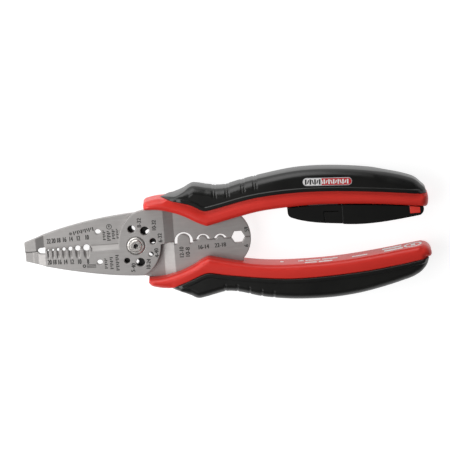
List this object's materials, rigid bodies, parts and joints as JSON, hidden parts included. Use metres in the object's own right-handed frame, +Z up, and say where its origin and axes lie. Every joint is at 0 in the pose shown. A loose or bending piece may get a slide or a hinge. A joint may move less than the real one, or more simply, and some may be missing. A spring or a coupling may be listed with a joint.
{
  "type": "wire stripper",
  "caption": "Plier-style wire stripper, cutter, crimper and screw shear with padded handles and a live-wire detector in one handle.",
  "frame": {"origin": "middle of the footprint of the closed tool lying on its side", "axes": "+X from the jaws to the handle ends, +Y towards the detector handle, +Z up through the tool's thickness"},
  "size_m": [0.2193, 0.0714, 0.0185],
  "materials": {
    "blade_steel": "satin blasted steel",
    "bolt_steel": "turned steel",
    "handle_red": "moulded, satin gloss",
    "grip_rubber": "soft overmoulded rubber",
    "cover_black": "moulded, fine texture",
    "lens_red": "translucent, polished",
    "board_green": "solder mask",
    "chip_black": "moulded epoxy",
    "cell_steel": "nickel plated",
    "contact_brass": "sprung strip",
    "badge": "printed label"
  },
  "bodies": {
    "lower_half": {"rear_blade": "blade_steel", "lower_handle_core": "handle_red", "lower_grip": "grip_rubber", "pivot_bolt": "bolt_steel", "pivot_washer": "bolt_steel", "pivot_nut": "bolt_steel"},
    "upper_half": {"front_blade": "blade_steel", "upper_handle_core": "handle_red", "upper_grip": "grip_rubber", "detector_cover": "cover_black", "led_lens": "lens_red", "circuit_board": "board_green", "detector_chip": "chip_black", "buzzer": "chip_black", "indicator_led": "lens_red", "button_cell_1": "cell_steel", "button_cell_2": "cell_steel", "button_cell_3": "cell_steel", "battery_spring": "cell_steel", "spring_contact": "contact_brass", "battery_contact": "contact_brass", "sensor_strip": "contact_brass", "cover_screw": "bolt_steel", "grip_badge": "badge"},
    "door": {"battery_door": "cover_black"}
  },
  "joints": [
    {"name": "jaw_pivot", "type": "hinge", "parent": "lower_half", "child": "upper_half", "pos_m": [-0.0494, 0, 0.009], "axis": [0, 0, 1], "range_deg": [0, 30]},
    {"name": "battery_door_slide", "type": "slide", "parent": "upper_half", "child": "door", "axis": [0, -1, 0], "range_m": [0, 0.014]}
  ]
}
